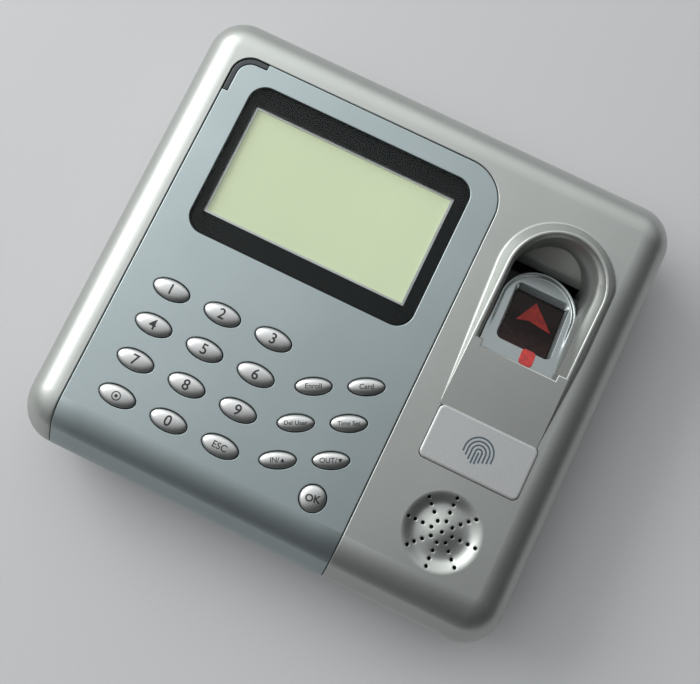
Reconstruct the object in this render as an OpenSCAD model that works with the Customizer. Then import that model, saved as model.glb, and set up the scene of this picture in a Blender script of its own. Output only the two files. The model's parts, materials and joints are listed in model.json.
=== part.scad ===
// Fingerprint time-clock terminal, lying on its back: face up (+Z), top edge towards +Y.
// The origin is the middle of the back. All sizes are in millimetres.

/* [Body] */
// Width of the body
body_w = 174; // [172:1:178]
// Height of the body, from its bottom edge to its top edge
body_h = 160; // [158:1:164]
// Height of the flat face above the back
face_z = 38; // [37.5:0.5:40]
// Plan radius of the body's corners
corner_r = 14; // [13:1:16]
// Rounding of the left, right and top edges
edge_r = 12; // [11:0.5:12.5]
// Wall thickness of the front cover and the keypad panel
wall = 2.5; // [2:0.1:2.8]
// Gap of the seam round the keypad panel
seam = 0.25; // [0.1:0.05:0.4]

/* [Display] */
// Width of the display's viewing area
lcd_w = 72; // [68:0.5:73]
// Height of the display's viewing area
lcd_h = 38.6; // [36:0.2:39.4]
// Width of the black display window
window_w = 81; // [79:0.5:82]
// Height of the black display window
window_h = 54.2; // [52:0.2:55]

/* [Keys] */
// Sideways pitch of the number keys
key_pitch_x = 18.5; // [18:0.1:18.6]
// Pitch of the number keys' rows
key_pitch_y = 12.76; // [12:0.02:12.8]
// Length of a number key's cap
key_l = 12.4; // [12:0.1:12.8]
// Width of a number key's cap
key_w = 6.3; // [6:0.1:6.6]
// Gap round each key's cap
key_gap = 0.35; // [0.3:0.05:0.4]
// Travel of a key
key_travel = 1.0; // [0.6:0.1:1.0]
// Angle of the function keys' rows
fn_angle = 25.3; // [20:0.1:27]

/* [Fingerprint scanner] */
// Middle of the scanner hood, sideways
hood_x = 54.8; // [54:0.1:55.5]
// Half width of the hood at its foot
hood_r = 19.8; // [19:0.1:20]
// Rise of the hood's rim above the face at its top end
hood_rise = 5.5; // [4:0.5:6]
// Slope of the finger plate
plate_tilt = 16; // [14:1:17]
// Width of the sensor's glass
glass_w = 17.5; // [16:0.5:18]
// Length of the sensor's glass
glass_l = 19.5; // [18:0.5:20]

/* [Back] */
// Width of the steel wall plate
plate_w = 140; // [136:1:142]
// Height of the steel wall plate
plate_h = 110; // [108:1:112]
// Spacing of the wall holes, sideways
hole_x = 120; // [118:1:121]
// Spacing of the wall holes, up and down
hole_y = 90; // [88:1:92]

/* [Hidden] */
eps = 0.01;
plate_t = 1.5;
cover_low = 12;
wall_draft = 0.4;
toe_r = 16;
toe_run = 16.7;
toe_drop = 10.5;
toe_bend = 4.7;
toe_bend_run = 5.4;

panel_l = -72.8;
panel_r = 27.7;
panel_t = 65.4;
panel_r1 = 7;
panel_r2 = 14;
panel_low = face_z - wall;
ledge_w = 2.2;
ledge_t = 2;
light_w = 2;
light_y = 51.4;
light_x = -62;

lcd_c = [-23.4, 31.7];
window_c = [-22.6, 31.2];
window_r = 6;
window_ledge = 2.6;
window_low = face_z - 1.9;
window_t = 1.4;
mask_t = 0.2;
lcd_top = face_z - 3.6;
lcd_post = [43, 26.5];

key_1 = [-56.6, -17];
fn_1 = [-1.15, -24.96];
fn_2 = [14.27, -17.68];
fn_row = 13.06;
ok_at = [14.27, -57.1];
ok_d = 8.5;
fn_l = 11.6;
fn_w = 5.3;
cap_rise = 1.35;
flange = 0.9;
flange_top = panel_low - 0.3;
flange_low = flange_top - 0.8;
dome_clear = 0.5;
membrane_top = flange_low - key_travel - dome_clear;
membrane_t = 1.4;
membrane_low = membrane_top - membrane_t;
board_t = 1.6;
pad_l = -68.5;
pad_r = 25.6;
pad_low = -65;
pad_top = -8.6;
pad_posts = [[-66, -11], [23.2, -11], [-66, -62.4], [23.2, -62.4]];

hood_low = -12;
hood_mid = 39.6;
crest_r = 16.9;
crest_mid = 38.8;
hood_tilt = atan(hood_rise / (crest_mid + crest_r - hood_low));
pit_r = 16.2;
pit_floor_r = 13.8;
pit_y = 10.5;
pit_floor_z = face_z - 13;
slope_y = 44.6;
slope_z = face_z - 12;
slope_angle = 50;
bezel_at = [hood_x - 0.2, 10.5, face_z - 0.5];
bezel_r = 13.3;
bezel_l = 34.2;
bezel_t = 2.3;
glass_y = 6.4;
glass_low = 1.7;

badge = [34.8, 18.4];
badge_c = [55.6, -20.8];
badge_t = 1.2;

speaker_c = [55.8, -48.7];
star_r = 11.7;
star_hole = 0.62;
dish_r = 13.2;

rear_gap = 0.3;
rear_w = body_w - 2 * (wall + rear_gap);
rear_h = body_h - 2 * (wall + rear_gap);
rear_floor = 4;
rear_top = 16;
rear_wall = 2;
case_posts = [[-77.5, 69], [77.5, 69], [-77.5, -68], [77.5, -68]];
boss_low = 15.2;
bar_y = -74.5;
bar_z = 20.5;

main_c = [-14, 2];
main_w = 96;
main_h = 64;
main_z = 17;
main_posts = [[-59.5, 30], [31.5, 30], [-59.5, -26], [31.5, -26]];
socket_y = 25;
window_x = [-54, 28];
window_y = [11, 39];

tamper = [-50, -20];
hook_at = [62, 20];
vent_y = -61;
tab_y = -69.2;
lock_z = 7.6;

NUMBERS = [
    ["key_1", 0, 0], ["key_2", 1, 0], ["key_3", 2, 0],
    ["key_4", 0, 1], ["key_5", 1, 1], ["key_6", 2, 1],
    ["key_7", 0, 2], ["key_8", 1, 2], ["key_9", 2, 2],
    ["key_bell", 0, 3], ["key_0", 1, 3], ["key_escape", 2, 3]
];
FUNCTIONS = [
    ["key_enrol", 0, 0], ["key_card", 1, 0],
    ["key_delete_user", 0, 1], ["key_time_set", 1, 1],
    ["key_in_up", 0, 2], ["key_out_down", 1, 2]
];

// ---- Outlines ----

// Points of a quarter circle about c, from angle a
function arc(c, r, a, n) = [for (i = [0:n]) c + r * [cos(a + 90 * i / n), sin(a + 90 * i / n)]];

// Rounded rectangle from lo to hi, with its own radius at the top and at the bottom corners
function rounded(lo, hi, r_top, r_low, n = 8) = concat(
    arc([hi.x - r_top, hi.y - r_top], r_top, 0, n),
    arc([lo.x + r_top, hi.y - r_top], r_top, 90, n),
    arc([lo.x + r_low, lo.y + r_low], r_low, 180, n),
    arc([hi.x - r_low, lo.y + r_low], r_low, 270, n)
);

// Ellipse with semi-axes a and b
function oval(a, b, n = 32) = [for (i = [0:n - 1]) [a * cos(360 * i / n), b * sin(360 * i / n)]];

// How far the side and top edges lie in from the wall, d below the face
function side_in(d, r) = d >= r ? 0 : r * (1 - sin(acos(1 - d / r)));

// The same for the bottom edge: an arc, then a slanted toe
function toe_in(d) =
    d >= toe_drop ? 0
    : d > toe_bend ? toe_bend_run * (toe_drop - d) / (toe_drop - toe_bend)
    : toe_run - toe_r * sin(acos(1 - d / toe_r));

// The body's outline at depth d, for a shell drawn in by t
function body_outline(d, t) =
    let (s = side_in(d, edge_r - t) + t + (d > edge_r - t ? 0 : wall_draft))
    let (b = toe_in(d) + t + (d > toe_drop ? 0 : wall_draft))
    rounded([s - body_w / 2, b - body_h / 2], [body_w / 2 - s, body_h / 2 - s],
            max(2, corner_r - s), max(2, corner_r - s));

// An arch: straight sides from y0, w apart from the middle there, closed by a half circle about y1
function tapered_arch(w, r, y0, y1, n = 24) = concat(
    [[-w, y0], [w, y0]], [for (i = [0:n]) [r * cos(180 * i / n), y1 + r * sin(180 * i / n)]]
);
function arch(r, y0, y1) = tapered_arch(r, r, y0, y1);

function number_at(k) = key_1 + [k[1] * key_pitch_x, -k[2] * key_pitch_y];
function function_at(k) = (k[1] == 0 ? fn_1 : fn_2) - [0, k[2] * fn_row];

// ---- Shared shapes ----

// The body as a solid, drawn in by t, from height low up to its face
module body_solid(t, low) {
    depths = [0, 0.41, 1.61, 3.51, 4.7, 6, 8.9, 10.5, 12];
    hull() {
        for (d = depths)
            translate([0, 0, face_z - t - d - eps])
                linear_extrude(eps) polygon(body_outline(d, t));
        translate([0, 0, low]) linear_extrude(eps) polygon(body_outline(edge_r + 1, t));
    }
}

// The keypad panel's outline, drawn in by g
module panel_plan(g) {
    low = -body_h / 2 - 5;
    difference() {
        translate([panel_l + g, low]) square([panel_r - panel_l - 2 * g, panel_t - g - low]);
        corner_cut(panel_l + g, panel_t - g, panel_r1 - g, -1);
        corner_cut(panel_r - g, panel_t - g, panel_r2 - g, 1);
    }
}

// What a radius r takes off the corner at x, y, on the left (side -1) or right (side 1)
module corner_cut(x, y, r, side) {
    difference() {
        translate([x - (side > 0 ? r : 1), y - r]) square([r + 1, r + 1]);
        translate([x - side * r, y - r]) circle(r, $fn = 96);
    }
}

module slab(points, z0, z1) {
    translate([0, 0, z0]) linear_extrude(z1 - z0) polygon(points);
}

module box_at(c, size) {
    translate([c.x - size.x / 2, c.y - size.y / 2, c.z]) cube(size);
}

module post(at, r, z0, z1) {
    translate([at.x, at.y, z0]) cylinder(r = r, h = z1 - z0, $fn = 32);
}

// A pan-head screw standing on its head's underside, at z, with its shank along dir
module screw(at, z, r, length, dir = -1) {
    translate([at.x, at.y, z]) mirror([0, 0, dir > 0 ? 1 : 0]) {
        difference() {
            cylinder(r = 2 * r, h = 1.3 * r, $fn = 32);
            translate([-1.4 * r, -0.25 * r, 0.7 * r]) cube([2.8 * r, 0.5 * r, r]);
            translate([-0.25 * r, -1.4 * r, 0.7 * r]) cube([0.5 * r, 2.8 * r, r]);
        }
        translate([0, 0, -length]) cylinder(r = r, h = length + eps, $fn = 32);
    }
}

// Places its children in the sloping frame of the finger plate
module on_plate() {
    translate(bezel_at) rotate([-plate_tilt, 0, 0]) children();
}

// ---- Housing ----

module hood_solid() {
    translate([hood_x, 0, 0]) hull() {
        slab(tapered_arch(crest_r + 0.2, hood_r, hood_low, hood_mid), face_z - 0.3, face_z - 0.1);
        translate([0, hood_low, face_z - 0.1]) rotate([hood_tilt, 0, 0])
            slab(arch(crest_r, 1, crest_mid - hood_low), -0.1, 0.1);
    }
}

// The finger well: a tapered arch with a flat slope at its top end
module pit() {
    difference() {
        translate([hood_x, 0, 0]) hull() {
            slab(arch(pit_r, pit_y, crest_mid), face_z + 8, face_z + 8 + eps);
            slab(arch(pit_floor_r, pit_y, hood_mid - 1), pit_floor_z - 12, pit_floor_z);
        }
        translate([hood_x - 30, slope_y, slope_z]) rotate([slope_angle, 0, 0])
            translate([0, 0, -40]) cube([60, 60, 40]);
    }
}

// Walls of the well, cut off along the underside of the finger plate
module well_block() {
    difference() {
        translate([hood_x, 0, 0])
            slab(arch(hood_r - 0.8, pit_y - 4, hood_mid), 12, face_z - 1);
        on_plate() translate([-40, -30, -60 - bezel_t]) cube([80, 110, 60]);
    }
}

module panel_ledge() {
    difference() {
        translate([0, 0, panel_low - ledge_t]) linear_extrude(ledge_t + 0.9)
            intersection() {
                panel_plan(-1.6);
                translate([-90, -59]) square([180, 160]);
            }
        translate([0, 0, panel_low]) linear_extrude(5) panel_plan(-seam);
        translate([0, 0, panel_low - 5]) linear_extrude(10) panel_plan(ledge_w);
    }
}

module speaker_seat() {
    post(speaker_c, dish_r + 2.3, face_z - 4.2, face_z - 0.6);
}

// The speaker's dish: a ring-shaped valley round a low dome, cut down from the face
module speaker_dish() {
    translate([speaker_c.x, speaker_c.y, face_z]) rotate_extrude($fn = 96)
        polygon([[0, -0.35], [2.5, -0.5], [5, -0.95], [7, -1.3], [8.6, -1.45], [10.2, -1.3],
                 [11.8, -0.75], [dish_r, 0], [dish_r, 3], [0, 3]]);
}

module speaker_holes() {
    post(speaker_c, star_hole, face_z - 6, face_z + 1);
    for (spoke = [0:7])
        for (f = [0.31, 0.56, 0.79, 1])
            post(speaker_c + f * star_r * [cos(45 * spoke), sin(45 * spoke)],
                 star_hole, face_z - 6, face_z + 1);
}

module front_cover() {
    color([0.74, 0.74, 0.71]) difference() {
        union() {
            difference() {
                body_solid(0, cover_low);
                body_solid(wall, cover_low - 2);
                translate([0, 0, cover_low - 2]) linear_extrude(40) panel_plan(-seam);
            }
            hood_solid();
            well_block();
            panel_ledge();
            speaker_seat();
            box_at([0, bar_y, bar_z], [body_w - 13, 3, 4]);
            intersection() {
                for (p = case_posts) post(p, 3.5, boss_low, face_z);
                body_solid(1, cover_low);
            }
            for (s = [-1, 1]) post(speaker_c + [s * 17.5, 0], 2.4, 28.8, face_z - 1.5);
        }
        pit();
        on_plate() {
            for (x = [-17, 17], y = [4, 30]) post([x, y], 0.8, -4, 0.5);
            slab(bezel_flange(0.25), -bezel_t - 4, -bezel_t + 0.05);
            box_at([0, 3, -bezel_t], [2 * bezel_r + 0.4, 6, bezel_t + 0.2]);
        }
        speaker_dish();
        speaker_holes();
        translate([badge_c.x - badge.x / 2 - 0.1, badge_c.y - badge.y / 2 - 0.1, face_z - 0.6])
            cube([badge.x + 0.2, badge.y + 0.2, 5]);
        for (p = case_posts) post(p, 1.3, boss_low - 1, face_z - 6);
        for (s = [-1, 1]) post(speaker_c + [s * 17.5, 0], 0.8, 28, face_z - 3);
    }
}

module light_plan(g) {
    intersection() {
        difference() {
            panel_plan(g);
            panel_plan(light_w - g);
        }
        translate([panel_l - 1, light_y + g]) square([light_x - panel_l + 1 - g, 20]);
    }
}

module status_light() {
    color([0.12, 0.14, 0.16])
        translate([0, 0, panel_low + 0.05]) linear_extrude(wall - 0.45) light_plan(0.15);
}

module keypad_panel() {
    color([0.60, 0.67, 0.68]) difference() {
        union() {
            difference() {
                body_solid(0, cover_low);
                body_solid(wall, cover_low - 2);
                translate([-100, -100, cover_low - 2]) linear_extrude(40) difference() {
                    square([200, 200]);
                    translate([100, 100]) panel_plan(0);
                }
                translate([0, 0, panel_low - 1]) linear_extrude(6) light_plan(0);
            }
            for (p = pad_posts) post(p, 2, membrane_low, panel_low + 0.5);
            for (sx = [-1, 1], sy = [-1, 1])
                post(lcd_c + [sx * lcd_post.x, sy * lcd_post.y], 2, 30, panel_low + 0.5);
        }
        slab(window_outline(0.15), window_low, face_z + 1);
        slab(window_outline(-window_ledge), panel_low - 1, face_z + 1);
        for (k = NUMBERS) key_hole(number_at(k), key_l, key_w, 0);
        for (k = FUNCTIONS) key_hole(function_at(k), fn_l, fn_w, fn_angle);
        key_hole(ok_at, ok_d, ok_d, 0);
        for (p = pad_posts) post(p, 0.8, membrane_low - 1, panel_low + 1.3);
        for (sx = [-1, 1], sy = [-1, 1])
            post(lcd_c + [sx * lcd_post.x, sy * lcd_post.y], 0.8, 29, panel_low + 1.3);
    }
}

// ---- Display ----

function window_outline(g) =
    rounded(window_c - [window_w / 2 + g, window_h / 2 + g],
            window_c + [window_w / 2 + g, window_h / 2 + g],
            window_r + g, window_r + g);

module lcd_box(w, h, z0, z1) {
    box_at([lcd_c.x, lcd_c.y, z0], [w, h, z1 - z0]);
}

module window_mask() {
    color([0.05, 0.06, 0.07]) difference() {
        slab(window_outline(0), window_low, window_low + mask_t);
        lcd_box(lcd_w + 1.8, lcd_h + 1.8, window_low - 1, window_low + 1);
    }
}

module display_window() {
    color([0.3, 0.35, 0.35]) slab(window_outline(0), window_low + mask_t,
                                   window_low + mask_t + window_t);
}

module lcd_frame() {
    color([0.72, 0.74, 0.75]) difference() {
        lcd_box(lcd_w + 6, lcd_h + 9, lcd_top - 4.4, lcd_top + 0.55);
        lcd_box(lcd_w, lcd_h, lcd_top - 5, lcd_top + 1);
        lcd_box(lcd_w + 5, lcd_h + 8, lcd_top - 5, lcd_top + 0.05);
    }
}

module lcd_glass() {
    color([0.77, 0.81, 0.67]) lcd_box(lcd_w + 4.6, lcd_h + 7.6, lcd_top - 2.2, lcd_top);
}

module lcd_board() {
    color([0.1, 0.35, 0.2]) difference() {
        union() {
            lcd_box(lcd_w + 20, lcd_h + 19.4, 28.4, 30);
            lcd_box(lcd_w + 4, lcd_h + 7, 30 - eps, lcd_top - 2.25);
        }
        for (sx = [-1, 1], sy = [-1, 1])
            post(lcd_c + [sx * lcd_post.x, sy * lcd_post.y], 1.1, 27, 31);
    }
}

module lcd_screws() {
    color("silver") for (sx = [-1, 1], sy = [-1, 1])
        screw(lcd_c + [sx * lcd_post.x, sy * lcd_post.y], 28.4, 0.75, 6, 1);
}

// ---- Keypad ----

module key_hole(at, l, w, turn) {
    translate([at.x, at.y, panel_low - 1]) rotate(turn)
        linear_extrude(wall + 2) polygon(oval(l / 2 + key_gap, w / 2 + key_gap));
}

module key_cap(at, l, w, turn = 0) {
    color([0.72, 0.72, 0.72]) translate([at.x, at.y, 0]) rotate(turn) {
        hull() {
            slab(oval(l / 2, w / 2), flange_low, face_z + 0.35);
            slab(oval(l / 2 - 0.45, w / 2 - 0.45), face_z + 0.7, face_z + 0.72);
            slab(oval(l / 2 - 1.6, w / 2 - 1.3), face_z + 1.15, face_z + 1.16);
            slab(oval(l / 4, w / 5), face_z + cap_rise - eps, face_z + cap_rise);
        }
        slab(oval(l / 2 + flange, w / 2 + flange), flange_low, flange_top);
    }
}

module number_key(name) {
    for (k = NUMBERS) if (k[0] == name) key_cap(number_at(k), key_l, key_w);
}

module function_key(name) {
    for (k = FUNCTIONS) if (k[0] == name) key_cap(function_at(k), fn_l, fn_w, fn_angle);
}

module key_ok() {
    key_cap(ok_at, ok_d, ok_d);
}

module dome(at) {
    translate([at.x, at.y, membrane_top - eps]) cylinder(r1 = 2.3, r2 = 1.6, h = 0.2, $fn = 24);
}

module key_membrane() {
    color([0.75, 0.75, 0.72]) difference() {
        union() {
            slab(rounded([pad_l, pad_low], [pad_r, pad_top], 2, 2), membrane_low, membrane_top);
            for (k = NUMBERS) dome(number_at(k));
            for (k = FUNCTIONS) dome(function_at(k));
            dome(ok_at);
        }
        for (p = pad_posts) post(p, 2.2, membrane_low - 1, membrane_top + 1);
    }
}

module keypad_board() {
    color([0.1, 0.35, 0.2]) difference() {
        slab(rounded([pad_l, pad_low], [pad_r, pad_top], 2, 2), membrane_low - board_t,
             membrane_low);
        for (p = pad_posts) post(p, 1.1, membrane_low - 3, membrane_low + 1);
    }
}

module keypad_screws() {
    color("silver") for (p = pad_posts) screw(p, membrane_low - board_t, 0.75, 5, 1);
}

// ---- Fingerprint sensor ----

module glass_block(g, z0, z1) {
    box_at([0, glass_y + glass_l / 2, z0], [glass_w + 2 * g, glass_l + 2 * g, z1 - z0]);
}

// Outline of the bezel's screwed flange, grown by g
function bezel_flange(g) = rounded([-18.4 - g, -2.5 - g], [18.4 + g, 38 + g], 4, 2);

module sensor_bezel() {
    mid = bezel_l - bezel_r;
    color([0.62, 0.65, 0.66]) on_plate() difference() {
        union() {
            slab(arch(bezel_r, 0.2, mid), -bezel_t, 0);
            difference() {
                slab(arch(bezel_r, mid - 9, mid), -eps, 1.1);
                slab(arch(bezel_r - 1.3, mid - 20, mid), -1, 3);
            }
            slab(bezel_flange(0), -bezel_t - 1.4, -bezel_t + eps);
        }
        glass_block(0.2, -6, 2);
        for (x = [-17, 17], y = [4, 30]) post([x, y], 1, -6, 1);
    }
}

module sensor_window() {
    color([0.12, 0.1, 0.1]) on_plate() glass_block(0, -glass_low - 1, -glass_low);
}

module sensor_prism() {
    color([0.25, 0.15, 0.15]) on_plate() difference() {
        glass_block(0, -11, -glass_low - 1);
        translate([-20, glass_y - 1, -11]) rotate([32, 0, 0])
            translate([0, 0, -14]) cube([40, 40, 14]);
    }
}

module sensor_housing() {
    color([0.12, 0.12, 0.13]) on_plate() difference() {
        union() {
            slab(rounded([-18.4, 1], [18.4, 33], 3, 3), -bezel_t - 2.8, -bezel_t - 1.4);
            slab(rounded([-13.4, 2], [13.4, 31], 2, 2), -15, -bezel_t - 1.4);
        }
        glass_block(0.15, -11.2, 2);
        glass_block(-1, -16, 0);
        for (x = [-17, 17], y = [4, 30]) post([x, y], 1, -6, 1);
    }
}

module sensor_board() {
    color([0.1, 0.35, 0.2]) on_plate() slab(rounded([-13, 2.4], [13, 30.6], 1, 1), -16.6, -15);
}

module sensor_screws() {
    color("silver") on_plate() for (x = [-17, 17], y = [4, 30])
        screw([x, y], -bezel_t - 2.8, 0.75, 4, 1);
}

// ---- Badge and speaker ----

module badge_plate() {
    color([0.8, 0.8, 0.8]) hull() {
        slab(rounded(badge_c - badge / 2, badge_c + badge / 2, 2, 2), face_z - 0.6, face_z + 0.15);
        slab(rounded(badge_c - badge / 2 + [0.7, 0.7], badge_c + badge / 2 - [0.7, 0.7], 1.8, 1.8),
             face_z + badge_t - 0.65, face_z + badge_t - 0.6);
    }
}

module speaker() {
    color([0.2, 0.2, 0.22]) {
        difference() {
            post(speaker_c, 14, 29.6, 33.4);
            post(speaker_c, 12.6, 31.4, 34);
        }
        post(speaker_c, 5, 31.4 - eps, 32.2);
        post(speaker_c, 8.5, 24, 29.6 + eps);
    }
}

module speaker_gasket() {
    color([0.1, 0.1, 0.1]) difference() {
        post(speaker_c, 14.6, 33.4, face_z - 4.2);
        post(speaker_c, 12.6, 33, face_z - 4);
    }
}

module speaker_retainer() {
    color([0.6, 0.6, 0.62]) difference() {
        union() {
            slab(rounded(speaker_c - [20, 3.2], speaker_c + [20, 3.2], 3, 3), 27.6, 28.8);
            post(speaker_c, 11.5, 27.6, 29.6);
        }
        post(speaker_c, 8.7, 27, 30);
        for (s = [-1, 1]) post(speaker_c + [s * 17.5, 0], 1.1, 27, 29);
    }
}

module speaker_screws() {
    color("silver") for (s = [-1, 1])
        screw(speaker_c + [s * 17.5, 0], 27.6, 0.75, 6, 1);
}

// ---- Electronics ----

module main_board() {
    color([0.1, 0.35, 0.2]) difference() {
        slab(rounded(main_c - [main_w, main_h] / 2, main_c + [main_w, main_h] / 2, 2, 2),
             main_z, main_z + board_t);
        for (p = main_posts) post(p, 1.5, main_z - 1, main_z + 3);
    }
}

module board_chips() {
    top = main_z + board_t;
    color([0.08, 0.08, 0.09]) {
        box_at([-22, 6, top], [20, 20, 1.6]);
        box_at([4, 8, top], [10, 14, 1.2]);
        box_at([4, -12, top], [8, 12, 1.2]);
        box_at([-44, -4, top], [7, 7, 1.2]);
        box_at([-22, -20, top], [9, 6, 1.2]);
    }
}

module buzzer() {
    color([0.1, 0.1, 0.1]) difference() {
        post([20, -20], 5, main_z + board_t, main_z + board_t + 7);
        post([20, -20], 1, main_z + board_t + 5, main_z + board_t + 8);
    }
}

module backup_battery() {
    color([0.75, 0.76, 0.77]) {
        post([-46, 16], 10, main_z + board_t + 0.6, main_z + board_t + 3.8);
        box_at([-46, 16, main_z + board_t], [16, 8, 0.7]);
    }
}

// A socket hanging under the main board, with its mouth towards the back
module socket(x, size, mouth) {
    difference() {
        box_at([x, socket_y, main_z - size.z], size);
        box_at([x, socket_y, main_z - size.z - 1], [mouth.x, mouth.y, mouth.z + 1]);
    }
}

module ethernet_jack() {
    color([0.7, 0.7, 0.72]) socket(-42, [16, 16, 12.8], [11.8, 8, 10]);
}

module usb_port() {
    color([0.7, 0.7, 0.72]) socket(-22, [14, 7.2, 12.8], [12.4, 5.2, 9]);
}

module power_jack() {
    color([0.08, 0.08, 0.09]) difference() {
        box_at([-6, socket_y, main_z - 12.8], [11, 11, 12.8]);
        post([-6, socket_y], 3.2, main_z - 14, main_z - 3);
    }
    color("silver") post([-6, socket_y], 1, main_z - 10, main_z - 3 + eps);
}

module terminal_block() {
    color([0.15, 0.45, 0.25]) difference() {
        box_at([15, socket_y, main_z - 12.8], [24, 9, 12.8]);
        for (i = [-2:2]) {
            post([15 + i * 4.5, socket_y - 1.6], 1.2, main_z - 14, main_z - 6);
            post([15 + i * 4.5, socket_y + 2], 1.4, main_z - 14, main_z - 9);
        }
    }
}

module board_screws() {
    color("silver") for (p = main_posts) screw(p, main_z + board_t, 1, 7);
}

module lcd_ribbon() {
    color([0.85, 0.85, 0.82]) translate([-12, 0, 0]) rotate([90, 0, 90]) linear_extrude(20)
        polygon([[24, 28.4], [26, 28.4], [26, 25.6], [29, 21.6], [29, main_z + board_t],
                 [28.4, main_z + board_t], [28.4, 21.3], [25.4, 25.3], [25.4, 27.8], [24, 27.8]]);
}

module sensor_ribbon() {
    color([0.85, 0.85, 0.82]) translate([0, 14, 0]) rotate([90, 0, 0]) linear_extrude(10)
        polygon([[30, main_z + board_t], [30, 20.4], [38, 20.4], [41.5, 20.4], [41.5, 21],
                 [29.4, 21], [29.4, main_z + board_t]]);
}

module speaker_wires() {
    for (i = [0, 1]) color(i == 0 ? [0.7, 0.1, 0.1] : [0.08, 0.08, 0.08])
        translate([28, -22 - 2 * i, 0]) {
            post([0, 0], 0.6, main_z + board_t, 22.6);
            translate([0, 0, 22]) rotate([0, 90, -33.7]) cylinder(r = 0.6, h = 22, $fn = 16);
        }
}

module tamper_switch() {
    color([0.1, 0.1, 0.11]) difference() {
        box_at([tamper.x, tamper.y, main_z - 4], [7, 7, 4]);
        post(tamper, 1.75, main_z - 5, main_z - 1.6);
    }
}

module tamper_plunger() {
    color([0.75, 0.15, 0.12]) {
        post(tamper, 1.4, plate_t + 0.1, main_z - 2.4);
        post(tamper, 2.8, 9.5, 10.5);
    }
}

// ---- Back ----

module rear_plan(g) {
    polygon(rounded([g - rear_w / 2, g - rear_h / 2], [rear_w / 2 - g, rear_h / 2 - g],
                    corner_r - wall - g, corner_r - wall - g));
}

module rear_cover() {
    color([0.16, 0.17, 0.18]) difference() {
        union() {
            difference() {
                translate([0, 0, plate_t]) linear_extrude(rear_top - plate_t) rear_plan(0);
                translate([0, 0, rear_floor]) linear_extrude(rear_top) rear_plan(rear_wall);
            }
            for (p = case_posts) post(p, 4, rear_floor - 1, boss_low - 0.2);
            for (p = main_posts) post(p, 3, rear_floor - 1, main_z);
            post(tamper, 4, rear_floor - 1, 7.5);
        }
        translate([window_x[0], window_y[0], 0])
            cube([window_x[1] - window_x[0], window_y[1] - window_y[0], 10]);
        for (p = case_posts) {
            post(p, 1.7, 0, 20);
            post(p, 3.4, 0, 4.6);
        }
        for (p = main_posts) post(p, 1.05, main_z - 8, main_z + 1);
        post(tamper, 1.75, 0, 20);
        for (x = [-1, 1], y = [-1, 1]) {
            post([x * hole_x / 2, y * hole_y / 2], 5, 0, 3.2);
            box_at([x * hook_at.x, y * hook_at.y + 2, 0], [11, 7, 10]);
        }
        for (s = [-1, 1], i = [0:5]) box_at([s * (14 + 6 * i), vent_y, 0], [2.4, 10, 10]);
        box_at([0, tab_y + 0.6, 0], [14, 4, 10]);
        translate([0, -60, lock_z]) rotate([90, 0, 0]) cylinder(r = 1.7, h = 30, $fn = 32);
    }
}

module case_screws() {
    color("silver") for (p = case_posts) screw(p, 4.6, 1.25, 22, 1);
}

module wall_plate() {
    color([0.62, 0.64, 0.66]) {
        difference() {
            slab(rounded([-plate_w / 2, -plate_h / 2], [plate_w / 2, plate_h / 2], 6, 6),
                 0, plate_t);
            translate([window_x[0] - 2, window_y[0] - 2, -1])
                cube([window_x[1] - window_x[0] + 4, window_y[1] - window_y[0] + 4, 4]);
            for (x = [-1, 1], y = [-1, 1])
                post([x * hole_x / 2, y * hole_y / 2], 2.25, -1, 4);
        }
        for (x = [-1, 1], y = [-1, 1]) {
            box_at([x * hook_at.x, y * hook_at.y, plate_t - eps], [8, 1.4, 4]);
            box_at([x * hook_at.x, y * hook_at.y + 1.3, plate_t + 2.8], [8, 4, 1.2]);
        }
        box_at([0, -60, 0], [20, 20, plate_t]);
        difference() {
            box_at([0, tab_y, 0], [12, 1.6, 11]);
            translate([0, -60, lock_z]) rotate([90, 0, 0]) cylinder(r = 1.3, h = 30, $fn = 32);
        }
    }
}

module lock_screw() {
    color("silver") translate([0, -rear_h / 2, lock_z]) rotate([90, 0, 0])
        screw([0, 0], 0, 1.25, 10);
}

front_cover();
keypad_panel();
display_window();
window_mask();
lcd_frame();
lcd_glass();
lcd_board();
lcd_screws();
status_light();
key_membrane();
keypad_board();
keypad_screws();
sensor_bezel();
sensor_window();
sensor_prism();
sensor_housing();
sensor_board();
sensor_screws();
badge_plate();
speaker();
speaker_gasket();
speaker_retainer();
speaker_screws();
main_board();
board_chips();
buzzer();
backup_battery();
ethernet_jack();
usb_port();
power_jack();
terminal_block();
board_screws();
lcd_ribbon();
sensor_ribbon();
speaker_wires();
rear_cover();
case_screws();
wall_plate();
lock_screw();
tamper_switch();
tamper_plunger();
number_key("key_1");  // key_1
number_key("key_2");  // key_2
number_key("key_3");  // key_3
number_key("key_4");  // key_4
number_key("key_5");  // key_5
number_key("key_6");  // key_6
number_key("key_7");  // key_7
number_key("key_8");  // key_8
number_key("key_9");  // key_9
number_key("key_bell");  // key_bell
number_key("key_0");  // key_0
number_key("key_escape");  // key_escape
function_key("key_enrol");  // key_enrol
function_key("key_card");  // key_card
function_key("key_delete_user");  // key_delete_user
function_key("key_time_set");  // key_time_set
function_key("key_in_up");  // key_in_up
function_key("key_out_down");  // key_out_down
key_ok();
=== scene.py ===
"""Looks of a fingerprint time-clock terminal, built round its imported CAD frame.

Mesh code works in millimetres."""

import json
import math

import bmesh
import bpy
from mathutils import Matrix, Vector
from mathutils.geometry import delaunay_2d_cdt


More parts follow.
